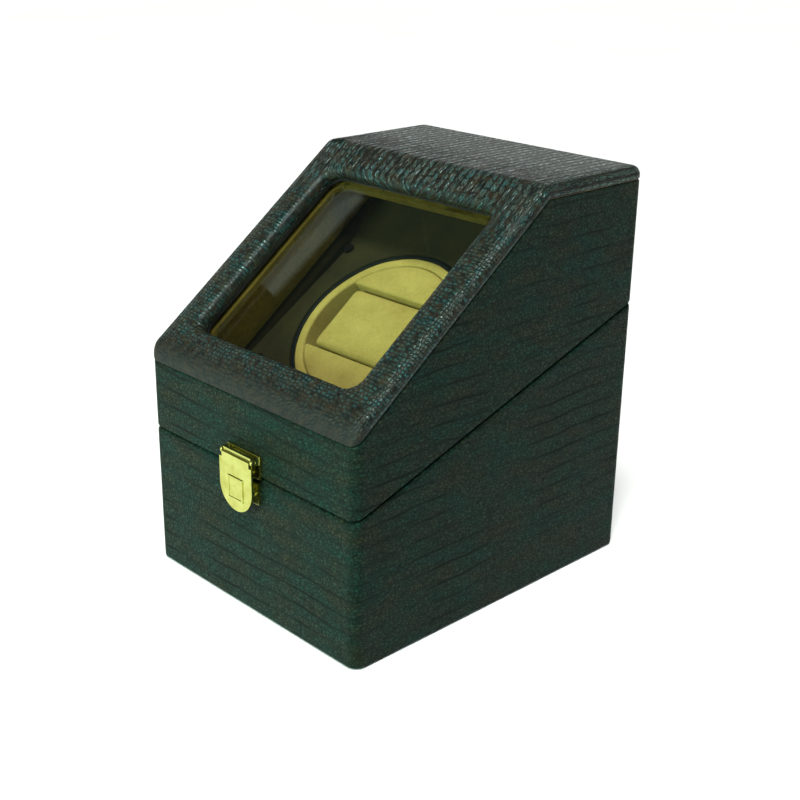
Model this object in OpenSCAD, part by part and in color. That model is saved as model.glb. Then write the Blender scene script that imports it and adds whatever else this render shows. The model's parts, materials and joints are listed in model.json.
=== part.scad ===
// Single watch winder box: a slant-fronted case whose hinged lid carries a glazed window,
// over a motor-driven drum that holds one watch cushion.
// X runs to the right, Y to the back, Z up. The origin is the middle of the underside.

/* [Case] */
// Outer width of the case, side to side
body_w = 150; // [146:1:156]
// Outer depth of the case, front to back
body_d = 185.5; // [182:0.5:190]
// Height of the parting line at the front face
part_front_h = 72; // [70:0.5:74]
// Height of the parting line at the back face
part_back_h = 134; // [131:0.5:137]
// Height at the front face where the slanted face begins
slant_front_h = 107.25; // [105:0.25:109]
// Height of the lid walls under the flat top
wall_top_h = 195.5; // [193:0.5:198]
// Distance behind the middle where the slanted face meets the flat top
bend_y = 24.2; // [22:0.2:26]
// Radius of the upright corners
corner_r = 5.5; // [4:0.5:7]
// Thickness of the leather skin
leather_t = 1; // [0.8:0.1:1.2]
// Thickness of the wall boards
board_t = 4.2; // [4:0.1:4.6]
// Thickness of the suede lining
lining_t = 0.8; // [0.6:0.1:1]
// Upright gap between base and lid
part_gap = 0.6; // [0.4:0.1:1]

/* [Cover and window] */
// Thickness of the padded cover plate
cover_t = 6.4; // [6:0.2:7]
// Thickness of the board inside the cover plate
cover_board_t = 3.2; // [3:0.1:3.6]
// Thickness of the leather on the cover plate
cover_leather_t = 1.4; // [1:0.1:1.6]
// Width of the window opening
window_w = 113; // [108:1:116]
// Distance up the slope from the front edge to the window
window_low = 23; // [20:0.5:26]
// Distance up the slope from the front edge to the window's upper edge
window_high = 130.5; // [126:0.5:132]
// Corner radius of the window opening
window_r = 7.5; // [6:0.5:9]
// Thickness of the glass pane
glass_t = 2.5; // [2:0.5:3]

/* [Drum] */
// Distance up the slope from the front edge to the drum's axis
drum_s = 74.6; // [72:0.2:78]
// Depth of the drum's rim under the slanted face
rim_drop = 34.4; // [33:0.2:37]
// Radius of the cup's inside, where the lining sits
cup_r = 45; // [44:0.5:45.5]
// Depth of the cup under its rim
cup_depth = 50; // [48:1:52]
// Inner radius of the padded lining
lining_r = 40; // [39:0.5:40.5]
// Width of the watch cushion
cushion_w = 63; // [60:0.5:64]
// Length of the watch cushion along the slope
cushion_l = 38.6; // [36:0.2:39]
// Height of the watch cushion
cushion_h = 46; // [42:1:46]
// Teeth on the drum gear
gear_teeth = 48; // [48]
// Teeth on the motor pinion
pinion_teeth = 16; // [16]

/* [Latch] */
// Width of the latch flap
flap_w = 23.7; // [22:0.1:25]
// Height of the latch flap
flap_h = 29.2; // [28:0.2:30]
// Distance of the flap's front face from the case
flap_standoff = 6.4; // [6:0.1:7]

/* [Hidden] */
$fn = 64;
half_d = body_d / 2;
front_y = -half_d;
part_a = atan((part_back_h - part_front_h) / body_d);
slant_a = atan((wall_top_h - slant_front_h) / (half_d + bend_y));
wall_t = leather_t + board_t + lining_t;
cut_margin = 5;

// Underside build-up
felt_t = 1.6;
foot_gap = 0.6;
felt_inset = 8;
floor_t = 4.4;
floor_top = felt_t + floor_t;

// Cover plate and glazing, as depths under the slanted face
cover_edge_t = 1.2;
gasket_t = 1.6;
glass_lap = 4;
frame_t = 4;
frame_lap = 10.5;
window_h = window_high - window_low;
window_s = (window_high + window_low) / 2;
frame_screw_x = window_w / 2 + 7.5;

// Winder module
module_half_w = 67.5;
cheek_t = 4;
module_front_y = front_y + 9;
module_back_y = 75;
deck_t = 3;
lip_r = cup_r + 1.9;
cup_wall_t = 1;
cup_floor_t = 2.5;
deck_hole_r = lip_r + 0.7;
wing_v = 20.7;
lining_floor_t = 2;
cushion_top_r = 3;
cushion_low_r = 13;
shaft_r = 3;
running_gap = 0.05;
gear_module = 1;
gear_t = 5;
gear_top = -57.5;
tooth_slack = 0.06;
pressure_a = 20;
gear_spacing = gear_module * (gear_teeth + pinion_teeth) / 2;
plate_top = -67.5;
plate_t = 2.5;
plate_w = 118;
plate_l = 88;
standoff_x = 53;
standoff_y = 38;
motor_r = 12;
motor_len = 24;
motor_shaft_r = 1.5;

// Rear control plate
control_x = 30;
control_z = 28;
control_w = 56;
control_h = 26;
control_t = 2;
jack_x = control_x - 11;
switch_x = control_x + 10;
rocker_y = half_d + 0.5;
rocker_tilt = 8;

// Hinges
hinge_x = 42;
hinge_w = 30;
knuckles = 5;
knuckle_gap = 0.2;
barrel_r = 2.2;
hinge_pin_r = 1;
leaf_t = 1;
leaf_h = 14;
hinge_y = half_d + barrel_r + 0.1;
hinge_z = part_back_h + part_gap / 2;

// Latch
latch_y = front_y - flap_standoff + 2;
latch_z = 82;
flap_t = 1.2;
flap_barrel_r = 2;
latch_pin_r = 0.8;
latch_plate_t = 1.4;
latch_ear_t = 1.2;
latch_ear_x = 10.4;
flap_neck_w = 20;
strike_z = 65;

// Circuit board
pcb_w = 45;
pcb_l = 40;
pcb_x = -38;
pcb_y = 50.5;
pcb_z = floor_top + 5;
pcb_t = 1.6;
terminal_y = pcb_y + 11;
terminal_h = 6;
motor_terminal_x = pcb_x + 13;
supply_terminal_x = pcb_x - 9;
lead_r = 0.7;
lead_spread = 2.4;
lead_hole_z = 20;

// Height of the parting line at a given y
function part_z(y) = part_front_h + (y - front_y) * tan(part_a);

// Involute gear outline
function roll(r, rb) = sqrt(max(0, pow(r / rb, 2) - 1)) * 180 / PI;
function involute(r, rb) = roll(r, rb) - atan(roll(r, rb) * PI / 180);
function polar(r, a) = [r * cos(a), r * sin(a)];
function gear_points(n) =
    let (
        rp = gear_module * n / 2,
        rb = rp * cos(pressure_a),
        ra = rp + 0.95 * gear_module,
        rf = rp - 1.2 * gear_module,
        r0 = max(rb, rf),
        half = 90 / n - tooth_slack / rp * 180 / PI,
        radii = concat([rf], [for (i = [0:4]) r0 + 0.02 + (ra - r0 - 0.02) * i / 4]),
        last = len(radii) - 1
    )
    [
        for (k = [0:n - 1], i = [0:2 * last + 1])
            let (
                rising = i <= last,
                r = radii[rising ? i : 2 * last + 1 - i],
                a = half + involute(rp, rb) - involute(r, rb)
            )
            polar(r, k * 360 / n + (rising ? -a : a))
    ];

// Places children in the frame of the slanted face: x across, y up the slope, z outwards
module on_slant(s, drop) {
    translate([0, front_y, slant_front_h])
        rotate([slant_a, 0, 0])
            translate([0, s, -drop])
                children();
}

// Places children in the drum's frame, with z = 0 at the rim
module at_drum() {
    on_slant(drum_s, rim_drop) children();
}

// Extrudes a side profile (y, z) across the case
module across(w) {
    translate([-w / 2, 0, 0])
        rotate([90, 0, 90])
            linear_extrude(w)
                children();
}

module rounded_rect(w, d, r) {
    square([w - 2 * r, d], center = true);
    square([w, d - 2 * r], center = true);
    for (x = [-1, 1], y = [-1, 1])
        translate([x * (w / 2 - r), y * (d / 2 - r)])
            circle(r);
}

// The case's plan, set in from the outer faces
module plan_prism(inset, z0, z1) {
    translate([0, 0, z0])
        linear_extrude(z1 - z0)
            rounded_rect(body_w - 2 * inset, body_d - 2 * inset, max(corner_r - inset, 0.6));
}

// Solid block under the parting line
module base_block(inset, z0, drop) {
    intersection() {
        plan_prism(inset, z0, part_back_h);
        across(body_w + 2)
            polygon([
                [front_y - 1, 0], [half_d + 1, 0],
                [half_d + 1, part_z(half_d + 1) - drop],
                [front_y - 1, part_z(front_y - 1) - drop]
            ]);
    }
}

// Solid block between the parting line and the cover plate
module lid_block(inset, rise) {
    slope = tan(slant_a);
    intersection() {
        plan_prism(inset, part_front_h - 2, wall_top_h);
        across(body_w + 2)
            polygon([
                [front_y - 1, part_z(front_y - 1) + part_gap + rise],
                [half_d + 1, part_z(half_d + 1) + part_gap + rise],
                [half_d + 1, wall_top_h], [bend_y, wall_top_h],
                [front_y - 1, slant_front_h - slope]
            ]);
    }
}

// Bent plate lying on the lid, from a depth t0 to t1 above the lid walls
module cover_block(t0, t1, inset) {
    bend_shift = tan(slant_a / 2);
    rise = 1 / cos(slant_a);
    slope = tan(slant_a);
    reach = front_y - 1;
    intersection() {
        plan_prism(inset, part_front_h, wall_top_h + cover_t + 1);
        across(body_w + 2)
            polygon([
                [reach, slant_front_h - slope + t0 * rise],
                [bend_y - t0 * bend_shift, wall_top_h + t0],
                [half_d + 1, wall_top_h + t0], [half_d + 1, wall_top_h + t1],
                [bend_y - t1 * bend_shift, wall_top_h + t1],
                [reach, slant_front_h - slope + t1 * rise]
            ]);
    }
}

// Opening through the slanted face, grown by a margin on every side
module window_prism(grow, z0, z1) {
    on_slant(window_s, 0)
        translate([0, 0, z0])
            linear_extrude(z1 - z0)
                rounded_rect(window_w + 2 * grow, window_h + 2 * grow, max(window_r + grow, 1));
}

// Opening for the control plate in the back wall
module control_opening() {
    translate([control_x, half_d - 5, control_z])
        cube([control_w - 12, 20, control_h - 6], center = true);
}

// Countersunk or pan screw standing on its head, shank along -z
module screw(head_r, head_t, shank_r, len) {
    cylinder(h = head_t, r = head_r);
    translate([0, 0, -len])
        cylinder(h = len, r = shank_r);
}

// Holes in the walls that the screws of hinges, strike and control plate fill
module base_screw_holes() {
    hinge_screws(false);
    strike_screw_pair();
    rear_screw_pair();
}

module lid_screw_holes() {
    hinge_screws(true);
    latch_screw_pair();
}

// Tube swept along points with eight sides
module wire(path, r) {
    sides = 8;
    n = len(path);
    rings = [
        for (i = [0:n - 1])
            let (
                t = path[min(i + 1, n - 1)] - path[max(i - 1, 0)],
                u = cross(t, [0.31, 0.2, 0.93]),
                un = u / norm(u),
                v = cross(t, un),
                vn = v / norm(v)
            )
            for (k = [0:sides - 1]) path[i] + r * (un * cos(k * 360 / sides) + vn * sin(k * 360 / sides))
    ];
    walls = [
        for (i = [0:n - 2], k = [0:sides - 1])
            let (a = i * sides, b = (k + 1) % sides)
            each [[a + k, a + sides + b, a + b], [a + k, a + sides + k, a + sides + b]]
    ];
    start = [for (k = [0:sides - 1]) k];
    end = [for (k = [sides - 1:-1:0]) (n - 1) * sides + k];
    polyhedron(rings, concat([start], walls, [end]));
}

// ---- Base ----

module bottom_felt() {
    color([0.09, 0.09, 0.1])
        plan_prism(felt_inset, 0, felt_t);
}

module bottom_panel() {
    color([0.62, 0.5, 0.36])
        plan_prism(leather_t + board_t, felt_t, floor_top);
}

module base_carcass() {
    color([0.62, 0.5, 0.36])
        difference() {
            base_block(leather_t, felt_t, leather_t);
            plan_prism(leather_t + board_t, 0, part_back_h + 1);
            control_opening();
            base_screw_holes();
        }
}

module base_leather() {
    color([0.13, 0.15, 0.13])
        difference() {
            base_block(0, foot_gap, 0);
            base_block(leather_t, felt_t, leather_t);
            plan_prism(leather_t + board_t, felt_t, part_back_h + 1);
            plan_prism(felt_inset, 0, felt_t + 1);
            control_opening();
            base_screw_holes();
        }
}

module base_lining() {
    color([0.33, 0.19, 0.1])
        difference() {
            base_block(leather_t + board_t, floor_top, leather_t);
            plan_prism(wall_t, 0, part_back_h + 1);
            control_opening();
        }
}

// ---- Winder module ----

// Side outline of the module, up to a depth under the deck's top
module module_profile(y0, y1, drop) {
    deck_z = function (y) slant_front_h + (y - front_y) * tan(slant_a) - (rim_drop + drop) / cos(slant_a);
    polygon([[y0, floor_top], [y1, floor_top], [y1, deck_z(y1)], [y0, deck_z(y0)]]);
}

module module_cheeks() {
    color([0.14, 0.13, 0.09])
        for (side = [-1, 1])
            translate([side * (module_half_w - cheek_t / 2), 0, 0])
                across(cheek_t)
                    module_profile(module_front_y, module_back_y, deck_t);
}

module module_back() {
    color([0.14, 0.13, 0.09])
        difference() {
            across(2 * (module_half_w - cheek_t))
                module_profile(module_back_y - cheek_t, module_back_y, deck_t);
            translate([jack_x, module_back_y + 1, lead_hole_z])
                rotate([90, 0, 0])
                    cylinder(h = cheek_t + 2, r = 5);
        }
}

module deck_panel() {
    s_front = (module_front_y - front_y - rim_drop * sin(slant_a)) / cos(slant_a);
    s_back = (module_back_y - front_y - rim_drop * sin(slant_a)) / cos(slant_a);
    color([0.16, 0.15, 0.1])
        difference() {
            on_slant(0, rim_drop + deck_t)
                translate([-module_half_w, s_front, 0])
                    cube([2 * module_half_w, s_back - s_front, deck_t]);
            at_drum()
                translate([0, 0, -deck_t - 1])
                    cylinder(h = deck_t + 2, r = deck_hole_r);
            at_drum()
                for (x = [-1, 1], y = [-1, 1])
                    translate([x * standoff_x, y * standoff_y, -deck_t - 1])
                        cylinder(h = deck_t + 2, r = 1.6);
        }
}

module motor_plate() {
    color([0.72, 0.73, 0.74])
        at_drum()
            translate([0, 0, plate_top - plate_t])
                difference() {
                    linear_extrude(plate_t)
                        rounded_rect(plate_w, plate_l, 5);
                    translate([0, 0, -1])
                        cylinder(h = plate_t + 2, r = 5);
                    translate([0, -gear_spacing, -1])
                        cylinder(h = plate_t + 2, r = 3.5);
                    for (x = [-1, 1])
                        translate([x * 8.5, -gear_spacing, -1])
                            cylinder(h = plate_t + 2, r = 1.3);
                    for (x = [-1, 1], y = [-1, 1])
                        translate([x * standoff_x, y * standoff_y, -1])
                            cylinder(h = plate_t + 2, r = 1.6);
                }
}

module plate_standoffs() {
    len = -deck_t - plate_top;
    color([0.8, 0.8, 0.78])
        at_drum()
            for (x = [-1, 1], y = [-1, 1])
                translate([x * standoff_x, y * standoff_y, plate_top])
                    difference() {
                        cylinder(h = len, r = 3.5);
                        translate([0, 0, -1])
                            cylinder(h = 11, r = 1.4);
                        translate([0, 0, len - 10])
                            cylinder(h = 11, r = 1.4);
                    }
}

module standoff_screws() {
    color([0.78, 0.78, 0.8])
        at_drum()
            for (x = [-1, 1], y = [-1, 1])
                translate([x * standoff_x, y * standoff_y, 0]) {
                    screw(2.6, 1.2, 1.4, 9);
                    translate([0, 0, plate_top - plate_t])
                        rotate([180, 0, 0])
                            screw(2.6, 1.4, 1.4, 9);
                }
}

module shaft_bush() {
    color([0.78, 0.62, 0.3])
        at_drum()
            difference() {
                union() {
                    translate([0, 0, plate_top])
                        cylinder(h = 2, r = 7);
                    translate([0, 0, plate_top - plate_t - 3])
                        cylinder(h = plate_t + 3, r = 5);
                }
                translate([0, 0, plate_top - plate_t - 4])
                    cylinder(h = plate_t + 8, r = shaft_r + running_gap);
            }
}

module gear_motor() {
    color([0.75, 0.76, 0.78])
        at_drum()
            translate([0, -gear_spacing, plate_top - plate_t])
                difference() {
                    union() {
                        translate([0, 0, -motor_len])
                            cylinder(h = motor_len, r = motor_r);
                        cylinder(h = plate_t, r = 3.5);
                        translate([-6, -4, -motor_len - 2.5])
                            cube([12, 8, 2.5]);
                    }
                    translate([0, 0, -6])
                        cylinder(h = 6 + plate_t + 1, r = motor_shaft_r + running_gap);
                    for (x = [-1, 1])
                        translate([x * 8.5, 0, -5])
                            cylinder(h = 6, r = 1.2);
                }
}

module motor_screws() {
    color([0.78, 0.78, 0.8])
        at_drum()
            for (x = [-1, 1])
                translate([x * 8.5, -gear_spacing, plate_top])
                    screw(2.2, 1.2, 1.2, 6);
}

module circuit_board() {
    color([0.1, 0.35, 0.18])
        translate([pcb_x, pcb_y, pcb_z])
            difference() {
                translate([-pcb_w / 2, -pcb_l / 2, 0])
                    cube([pcb_w, pcb_l, pcb_t]);
                for (x = [-1, 1], y = [-1, 1])
                    translate([x * (pcb_w / 2 - 4), y * (pcb_l / 2 - 4), -1])
                        cylinder(h = 4, r = 1.3);
            }
}

module board_standoffs() {
    color([0.85, 0.85, 0.82])
        translate([pcb_x, pcb_y, 0])
            for (x = [-1, 1], y = [-1, 1])
                translate([x * (pcb_w / 2 - 4), y * (pcb_l / 2 - 4), 0]) {
                    translate([0, 0, floor_top])
                        cylinder(h = pcb_z - floor_top, r = 3);
                    translate([0, 0, pcb_z])
                        cylinder(h = 3, r = 1.3);
                }
}

module board_parts() {
    color([0.12, 0.12, 0.14])
        for (x = [supply_terminal_x, motor_terminal_x])
            translate([x, terminal_y, pcb_z + pcb_t])
                difference() {
                    translate([-5, -3, 0])
                        cube([10, 6, terminal_h]);
                    for (side = [-1, 1])
                        translate([side * lead_spread, 0, 2])
                            cylinder(h = terminal_h, r = lead_r + 0.1);
                }
    color([0.12, 0.12, 0.14])
        translate([pcb_x, pcb_y, pcb_z + pcb_t]) {
            translate([-6, -3, 0])
                cube([10, 6.5, 2]);
            translate([-12, -9, 0])
                cylinder(h = 10, r = 4);
            translate([10, -9, 0])
                cylinder(h = 8, r = 3);
            for (i = [0:3])
                translate([8 + 2.6 * i, -1, 0])
                    cube([1.2, 3, 0.7]);
        }
}

module rear_plate() {
    color([0.07, 0.07, 0.08])
        difference() {
            translate([control_x, half_d + control_t, control_z])
                rotate([90, 0, 0])
                    linear_extrude(control_t)
                        rounded_rect(control_w, control_h, 2);
            translate([jack_x, half_d - 1, control_z])
                rotate([-90, 0, 0])
                    cylinder(h = control_t + 2, r = 4);
            translate([switch_x, half_d + control_t / 2, control_z])
                cube([12.6, control_t + 2, 18.6], center = true);
            for (side = [-1, 1])
                translate([control_x + side * (control_w / 2 - 3.2), half_d - 1, control_z])
                    rotate([-90, 0, 0])
                        cylinder(h = control_t + 2, r = 1.2);
        }
}

module rear_screw_pair() {
    for (side = [-1, 1])
        translate([control_x + side * (control_w / 2 - 3.2), half_d + control_t, control_z])
            rotate([-90, 0, 0])
                screw(2.2, 1.2, 1.1, control_t + leather_t + 3);
}

module rear_plate_screws() {
    color([0.2, 0.2, 0.21])
        rear_screw_pair();
}

module dc_jack() {
    color([0.1, 0.1, 0.11])
        translate([jack_x, 0, control_z])
            rotate([-90, 0, 0]) {
                difference() {
                    union() {
                        translate([0, 0, half_d - 1])
                            cylinder(h = 4.2, r = 4);
                        translate([-5.5, -5.5, half_d - 14])
                            cube([11, 11, 14]);
                    }
                    translate([0, 0, half_d - 8])
                        cylinder(h = 12, r = 2.8);
                }
                translate([0, 0, half_d - 9])
                    cylinder(h = 11, r = 1);
            }
}

module switch_body() {
    color([0.06, 0.06, 0.07])
        translate([switch_x, 0, control_z])
            difference() {
                union() {
                    translate([-7.2, half_d + control_t, -10.2])
                        cube([14.4, 1.2, 20.4]);
                    translate([-6.3, half_d - 13, -9.3])
                        cube([12.6, 13 + control_t, 18.6]);
                }
                translate([-4.9, half_d - 4.5, -8.1])
                    cube([9.8, 20, 16.2]);
                translate([0, rocker_y, 0])
                    across(11.4)
                        circle(r = 1.2 + running_gap);
            }
}

module switch_rocker() {
    color([0.04, 0.04, 0.05])
        translate([switch_x, rocker_y, control_z])
            rotate([-rocker_tilt, 0, 0]) {
                across(9)
                    polygon([
                        [-2.5, -2.5], [2.6, -7], [4.2, -7], [3.2, 0],
                        [4.2, 7], [2.6, 7], [-2.5, 2.5]
                    ]);
                across(11.2)
                    circle(r = 1.2);
            }
}

module wiring() {
    above = pcb_z + pcb_t + terminal_h + 5;
    in_block = pcb_z + pcb_t + 2.5;
    jack_back = half_d - 14.2;
    color([0.6, 0.08, 0.06]) {
        for (side = [-lead_spread, lead_spread])
            wire([
                [side, 20.2, 28.3], [side - 1, 25.5, 19.5], [side - 8, 34, 15], [side - 16, 47, 17],
                [motor_terminal_x + side, terminal_y - 3, above],
                [motor_terminal_x + side, terminal_y, above - 1],
                [motor_terminal_x + side, terminal_y, in_block]
            ], lead_r);
        for (side = [-lead_spread, lead_spread])
            wire([
                [jack_x + side, jack_back, control_z - 3], [jack_x + side, jack_back - 2.4, 22.5],
                [jack_x + side / 2, 73, lead_hole_z], [jack_x + side / 2, 69.5, lead_hole_z - 1],
                [2 + side, 62, 16], [side - 12, 54, 26], [side - 30, 46, 28],
                [supply_terminal_x + side, terminal_y - 4, above + 1],
                [supply_terminal_x + side, terminal_y, above - 1],
                [supply_terminal_x + side, terminal_y, in_block]
            ], lead_r);
    }
}

// ---- Drum ----

module drum_cup() {
    color([0.05, 0.06, 0.09])
        at_drum()
            difference() {
                rotate_extrude()
                    polygon([
                        [6, -cup_depth - cup_floor_t], [cup_r + cup_wall_t, -cup_depth - cup_floor_t],
                        [cup_r + cup_wall_t, -2.5], [lip_r, -2.5], [lip_r, -0.4], [lip_r - 0.4, 0],
                        [cup_r, 0], [cup_r, -cup_depth], [6, -cup_depth]
                    ]);
                for (a = [0:120:240])
                    rotate([0, 0, a])
                        translate([10.5, 0, -cup_depth - cup_floor_t - 1])
                            cylinder(h = cup_floor_t + 2, r = 1.3);
            }
}

module drum_lining() {
    color([0.72, 0.66, 0.42])
        at_drum()
            rotate_extrude()
                polygon([
                    [0, -cup_depth], [cup_r, -cup_depth], [cup_r, -0.6], [cup_r - 0.8, 0],
                    [lining_r + 1, 0], [lining_r, -1], [lining_r, -cup_depth + lining_floor_t],
                    [0, -cup_depth + lining_floor_t]
                ]);
}

module drum_wings() {
    color([0.72, 0.66, 0.42])
        at_drum()
            for (side = [-1, 1])
                intersection() {
                    translate([0, 0, -cup_depth + lining_floor_t])
                        cylinder(h = cup_depth - lining_floor_t, r = lining_r);
                    translate([-lining_r, side > 0 ? wing_v : -lining_r, -cup_depth])
                        cube([2 * lining_r, lining_r - wing_v, cup_depth]);
                }
}

module drum_hub() {
    color([0.1, 0.1, 0.11])
        at_drum()
            difference() {
                union() {
                    translate([0, 0, -cup_depth - cup_floor_t])
                        cylinder(h = cup_floor_t, r = 6);
                    translate([0, 0, gear_top + 1.5])
                        cylinder(h = -cup_depth - cup_floor_t - gear_top - 1.5, r = 14);
                    translate([0, 0, gear_top])
                        cylinder(h = 1.5, r = 8);
                }
                translate([0, 0, gear_top - 1])
                    cylinder(h = 10, r = shaft_r);
                for (a = [0:120:240])
                    rotate([0, 0, a])
                        translate([10.5, 0, gear_top])
                            cylinder(h = 10, r = 1.1);
            }
}

module hub_screws() {
    color([0.78, 0.78, 0.8])
        at_drum()
            for (a = [0:120:240])
                rotate([0, 0, a])
                    translate([10.5, 0, gear_top + 1.5])
                        cylinder(h = -cup_depth - gear_top - 1.5, r = 1.1);
}

module drum_shaft() {
    color([0.8, 0.8, 0.82])
        at_drum()
            translate([0, 0, plate_top - plate_t - 6])
                cylinder(h = -cup_depth - plate_top + plate_t + 6, r = shaft_r);
}

module drum_gear() {
    color([0.88, 0.87, 0.8])
        at_drum()
            translate([0, 0, gear_top - gear_t])
                difference() {
                    linear_extrude(gear_t)
                        polygon(gear_points(gear_teeth));
                    translate([0, 0, -1])
                        cylinder(h = gear_t + 2, r = shaft_r);
                    for (a = [30:60:330])
                        rotate([0, 0, a])
                            translate([13.5, 0, -1])
                                cylinder(h = gear_t + 2, r = 4);
                }
}

module shaft_clip() {
    color([0.3, 0.3, 0.32])
        at_drum()
            translate([0, 0, plate_top - plate_t - 4.3])
                difference() {
                    cylinder(h = 0.8, r = 5);
                    translate([0, 0, -1])
                        cylinder(h = 3, r = shaft_r);
                    translate([0, -1.5, -1])
                        cube([8, 3, 3]);
                }
}

module motor_pinion() {
    color([0.86, 0.72, 0.4])
        at_drum()
            translate([0, -gear_spacing, gear_top - gear_t - 0.5])
                rotate([0, 0, 180 / pinion_teeth])
                    difference() {
                        linear_extrude(gear_t + 1)
                            polygon(gear_points(pinion_teeth));
                        translate([0, 0, -1])
                            cylinder(h = gear_t + 3, r = motor_shaft_r);
                    }
}

module motor_shaft() {
    color([0.8, 0.8, 0.82])
        at_drum()
            translate([0, -gear_spacing, plate_top - plate_t - 5.5])
                cylinder(h = gear_top + 1 - plate_top + plate_t + 5.5, r = motor_shaft_r);
}

// ---- Watch cushion ----

// End outline of the cushion, set in by a skin thickness
module cushion_outline(inset) {
    half = cushion_l / 2 - inset;
    low = inset - cushion_h;
    top_r = cushion_top_r - inset;
    low_r = cushion_low_r - inset;
    translate([-half, low + low_r])
        square([2 * half, -inset - top_r - low - low_r]);
    translate([top_r - half, low + low_r])
        square([2 * (half - top_r), -inset - low - low_r]);
    translate([low_r - half, low])
        square([2 * (half - low_r), 2 * low_r]);
    for (side = [-1, 1]) {
        translate([side * (half - top_r), -inset - top_r])
            circle(top_r);
        translate([side * (half - low_r), low + low_r])
            circle(low_r);
    }
}

module cushion_foam() {
    color([0.85, 0.82, 0.7])
        at_drum()
            across(cushion_w - 4)
                cushion_outline(1.5);
}

module cushion_cover() {
    color([0.76, 0.69, 0.42])
        at_drum()
            across(cushion_w - 4)
                difference() {
                    cushion_outline(0);
                    cushion_outline(1.5);
                }
}

module cushion_end_caps() {
    color([0.76, 0.69, 0.42])
        at_drum()
            for (side = [-1, 1])
                translate([side * (cushion_w / 2 - 1), 0, 0])
                    across(2)
                        cushion_outline(0);
}

// ---- Lid ----

module lid_carcass() {
    color([0.62, 0.5, 0.36])
        difference() {
            lid_block(leather_t, leather_t);
            plan_prism(leather_t + board_t, part_front_h - 5, wall_top_h + 1);
            lid_screw_holes();
        }
}

module lid_leather() {
    color([0.13, 0.15, 0.13])
        difference() {
            lid_block(0, 0);
            lid_block(leather_t, leather_t);
            plan_prism(leather_t + board_t, part_front_h - 5, wall_top_h + 1);
            lid_screw_holes();
        }
}

module lid_lining() {
    color([0.4, 0.22, 0.12])
        difference() {
            lid_block(leather_t + board_t, leather_t);
            plan_prism(wall_t, part_front_h - 5, wall_top_h + 1);
        }
}

module cover_board() {
    color([0.62, 0.5, 0.36])
        difference() {
            cover_block(0, cover_board_t, cover_edge_t);
            window_prism(cover_edge_t, -cut_margin, cover_t + cut_margin);
        }
}

module cover_foam() {
    color([0.8, 0.8, 0.75])
        difference() {
            cover_block(cover_board_t, cover_t - cover_leather_t, cover_edge_t);
            window_prism(cover_edge_t, -cut_margin, cover_t + cut_margin);
        }
}

module cover_leather() {
    color([0.16, 0.12, 0.1])
        difference() {
            cover_block(0, cover_t, 0);
            difference() {
                cover_block(-1, cover_t - cover_leather_t, cover_edge_t);
                window_prism(cover_edge_t, -cut_margin, cover_t + cut_margin);
            }
            window_prism(0, -cut_margin, cover_t + cut_margin);
        }
}

module glass_gasket() {
    color([0.08, 0.08, 0.08])
        difference() {
            window_prism(glass_lap, -gasket_t, 0);
            window_prism(0.5, -gasket_t - 1, 1);
        }
}

module glass_pane() {
    color([0.75, 0.82, 0.8, 0.35])
        window_prism(glass_lap, -gasket_t - glass_t, -gasket_t);
}

module glass_frame() {
    glass_back = gasket_t + glass_t;
    color([0.74, 0.66, 0.38])
        difference() {
            window_prism(frame_lap, -glass_back - frame_t, 0);
            window_prism(glass_lap, -glass_back, 1);
            window_prism(-0.8, -glass_back - frame_t - 1, 1);
            on_slant(window_s, 0)
                for (x = [-1, 1], y = [-1, 0, 1])
                    translate([x * frame_screw_x, y * window_h * 0.42, -20])
                        cylinder(h = 30, r = 1.1);
        }
}

module frame_screws() {
    color([0.78, 0.62, 0.3])
        on_slant(window_s, gasket_t + glass_t + frame_t)
            for (x = [-1, 1], y = [-1, 0, 1])
                translate([x * frame_screw_x, y * window_h * 0.42, 0])
                    rotate([180, 0, 0])
                        screw(2, 1, 1.1, gasket_t + glass_t + frame_t);
}

// ---- Hinges ----

// One half of both hinges; the base half holds the outer and middle knuckles
module hinge_leaves(is_lid) {
    step = hinge_w / knuckles;
    up = is_lid ? 1 : -1;
    for (side = [-1, 1])
        translate([side * hinge_x, 0, 0])
            difference() {
                union() {
                    translate([-hinge_w / 2, half_d, is_lid ? hinge_z + barrel_r + 0.4 : hinge_z - leaf_h])
                        cube([hinge_w, leaf_t, leaf_h - barrel_r - 0.4]);
                    for (k = [is_lid ? 1 : 0:2:knuckles - 1])
                        translate([-hinge_w / 2 + k * step + knuckle_gap / 2, 0, 0]) {
                            translate([0, hinge_y, hinge_z])
                                rotate([0, 90, 0])
                                    cylinder(h = step - knuckle_gap, r = barrel_r);
                            translate([0, half_d, is_lid ? hinge_z : hinge_z - barrel_r - 1])
                                cube([step - knuckle_gap, leaf_t, barrel_r + 1]);
                        }
                }
                translate([-hinge_w, hinge_y, hinge_z])
                    rotate([0, 90, 0])
                        cylinder(h = 2 * hinge_w, r = hinge_pin_r + (is_lid ? running_gap : 0));
                for (x = [-1, 1])
                    translate([x * 10, half_d - 1, hinge_z + up * 9])
                        rotate([-90, 0, 0])
                            cylinder(h = 4, r = 1.2);
            }
}

module hinge_screws(is_lid) {
    up = is_lid ? 1 : -1;
    for (side = [-1, 1], x = [-1, 1])
        translate([side * hinge_x + x * 10, half_d + leaf_t, hinge_z + up * 9])
            rotate([-90, 0, 0])
                screw(2.2, 0.8, 1.2, leaf_t + leather_t + 3.4);
}

module hinge_base_leaves() {
    color([0.8, 0.64, 0.28])
        hinge_leaves(false);
}

module hinge_lid_leaves() {
    color([0.8, 0.64, 0.28])
        hinge_leaves(true);
}

module hinge_pins() {
    color([0.75, 0.6, 0.26])
        for (side = [-1, 1])
            translate([side * hinge_x - hinge_w / 2, hinge_y, hinge_z])
                rotate([0, 90, 0])
                    cylinder(h = hinge_w, r = hinge_pin_r);
}

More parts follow.
